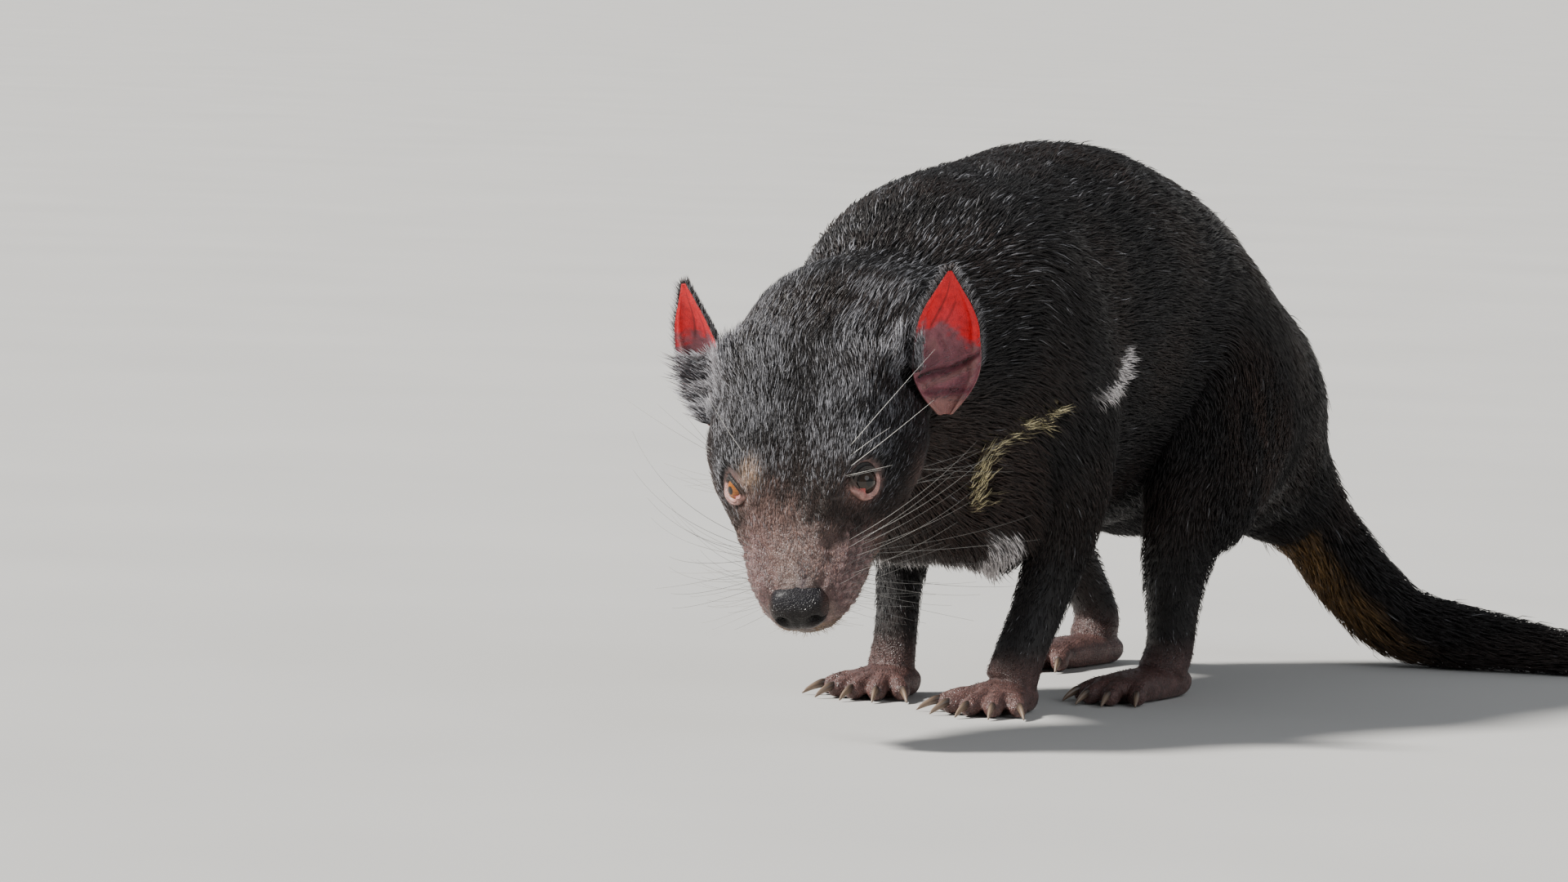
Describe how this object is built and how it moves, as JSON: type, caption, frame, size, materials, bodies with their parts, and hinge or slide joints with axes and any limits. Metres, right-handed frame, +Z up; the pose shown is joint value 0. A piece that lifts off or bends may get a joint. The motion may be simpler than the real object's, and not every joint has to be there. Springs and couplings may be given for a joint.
{
  "type": "tasmanian devil",
  "caption": "Life-size standing tasmanian devil: arched black body, lowered turned head, upright ears, walking feet and a thick tail on the floor.",
  "frame": {"origin": "on the floor under the middle of the model's box", "axes": "+Z up; the animal walks towards -Y and its left side is +X; the length from nose to tail runs along Y"},
  "size_m": [0.304, 0.6974, 0.2997],
  "materials": {
    "coat": "short dense black-brown fur with a soft sheen",
    "bare_skin": "thinly haired greyish-pink skin",
    "ear_skin": "thin bare pink skin that lets light through",
    "nose_skin": "moist pebbled black skin",
    "eye": "wet and glossy dark brown",
    "claw": "smooth horn"
  },
  "bodies": {
    "root": {"head": "coat", "nose": "nose_skin", "eye_left": "eye", "eye_right": "eye", "ear_left": "ear_skin", "ear_right": "ear_skin", "neck": "coat", "torso": "coat", "tail_root": "coat", "tail_middle": "coat", "tail_tip": "coat", "upper_arm_left": "coat", "forearm_left": "coat", "forefoot_left": "bare_skin", "fore_claw_left_1": "claw", "fore_claw_left_2": "claw", "fore_claw_left_3": "claw", "fore_claw_left_4": "claw", "fore_claw_left_5": "claw", "upper_arm_right": "coat", "forearm_right": "coat", "forefoot_right": "bare_skin", "fore_claw_right_1": "claw", "fore_claw_right_2": "claw", "fore_claw_right_3": "claw", "fore_claw_right_4": "claw", "fore_claw_right_5": "claw", "thigh_left": "coat", "shank_left": "coat", "hind_foot_left": "bare_skin", "hind_claw_left_1": "claw", "hind_claw_left_2": "claw", "hind_claw_left_3": "claw", "hind_claw_left_4": "claw", "thigh_right": "coat", "shank_right": "coat", "hind_foot_right": "bare_skin", "hind_claw_right_1": "claw", "hind_claw_right_2": "claw", "hind_claw_right_3": "claw", "hind_claw_right_4": "claw"}
  },
  "joints": []
}
